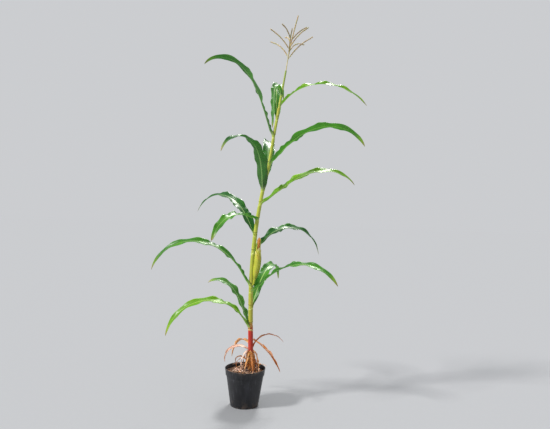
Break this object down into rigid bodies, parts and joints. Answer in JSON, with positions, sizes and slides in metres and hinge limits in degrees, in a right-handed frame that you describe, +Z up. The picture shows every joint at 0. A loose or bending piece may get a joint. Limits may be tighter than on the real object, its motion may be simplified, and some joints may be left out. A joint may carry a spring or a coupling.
{
  "type": "maize plant",
  "caption": "Tall leaning maize plant in a round tapered nursery pot, with arching leaves, an ear, a tassel and dry leaves at its foot.",
  "frame": {"origin": "middle of the pot's flat underside", "axes": "+Z straight up, +X to the right seen from the front, -Y towards the front"},
  "size_m": [1.3143, 0.8769, 2.4003],
  "materials": {
    "pot": "thin moulded nursery-pot plastic, matt with a dull sheen",
    "soil": "coarse crumbly potting mix, dry on top",
    "stalk": "smooth green skin, red and tan near the foot",
    "leaf": "glossy green blade with fine lengthwise veins and a pale midrib",
    "husk": "ribbed yellow-green husk leaves",
    "silk": "dry brown silk threads",
    "tassel": "dry straw-coloured spikelets",
    "dry_leaf": "brittle tan and brown dead leaf"
  },
  "bodies": {
    "root": {"pot": "pot", "soil": "soil", "stalk": "stalk", "leaf_01_inner": "leaf", "leaf_01_outer": "leaf", "leaf_02_inner": "leaf", "leaf_02_outer": "leaf", "leaf_03_inner": "leaf", "leaf_03_outer": "leaf", "leaf_04_inner": "leaf", "leaf_04_outer": "leaf", "leaf_05_inner": "leaf", "leaf_05_outer": "leaf", "leaf_06_inner": "leaf", "leaf_06_outer": "leaf", "leaf_07_inner": "leaf", "leaf_07_outer": "leaf", "leaf_08_inner": "leaf", "leaf_08_outer": "leaf", "leaf_09_inner": "leaf", "leaf_09_outer": "leaf", "leaf_10_inner": "leaf", "leaf_10_outer": "leaf", "leaf_11_inner": "leaf", "leaf_11_outer": "leaf", "leaf_12_inner": "leaf", "leaf_12_outer": "leaf", "leaf_13_inner": "leaf", "leaf_13_outer": "leaf", "leaf_14_inner": "leaf", "leaf_14_outer": "leaf", "leaf_15_inner": "leaf", "leaf_15_outer": "leaf", "leaf_16_inner": "leaf", "leaf_16_outer": "leaf", "ear_husk": "husk", "ear_silk": "silk", "tassel": "tassel", "dry_leaf_1_inner": "dry_leaf", "dry_leaf_1_outer": "dry_leaf", "dry_leaf_2_inner": "dry_leaf", "dry_leaf_2_outer": "dry_leaf", "dry_leaf_3_inner": "dry_leaf", "dry_leaf_3_outer": "dry_leaf", "dry_leaf_4_inner": "dry_leaf", "dry_leaf_4_outer": "dry_leaf", "dry_leaf_5_inner": "dry_leaf", "dry_leaf_5_outer": "dry_leaf", "dry_leaf_6_inner": "dry_leaf", "dry_leaf_6_outer": "dry_leaf", "dry_sheath_1": "dry_leaf", "dry_sheath_2": "dry_leaf", "dry_sheath_3": "dry_leaf"}
  },
  "joints": []
}
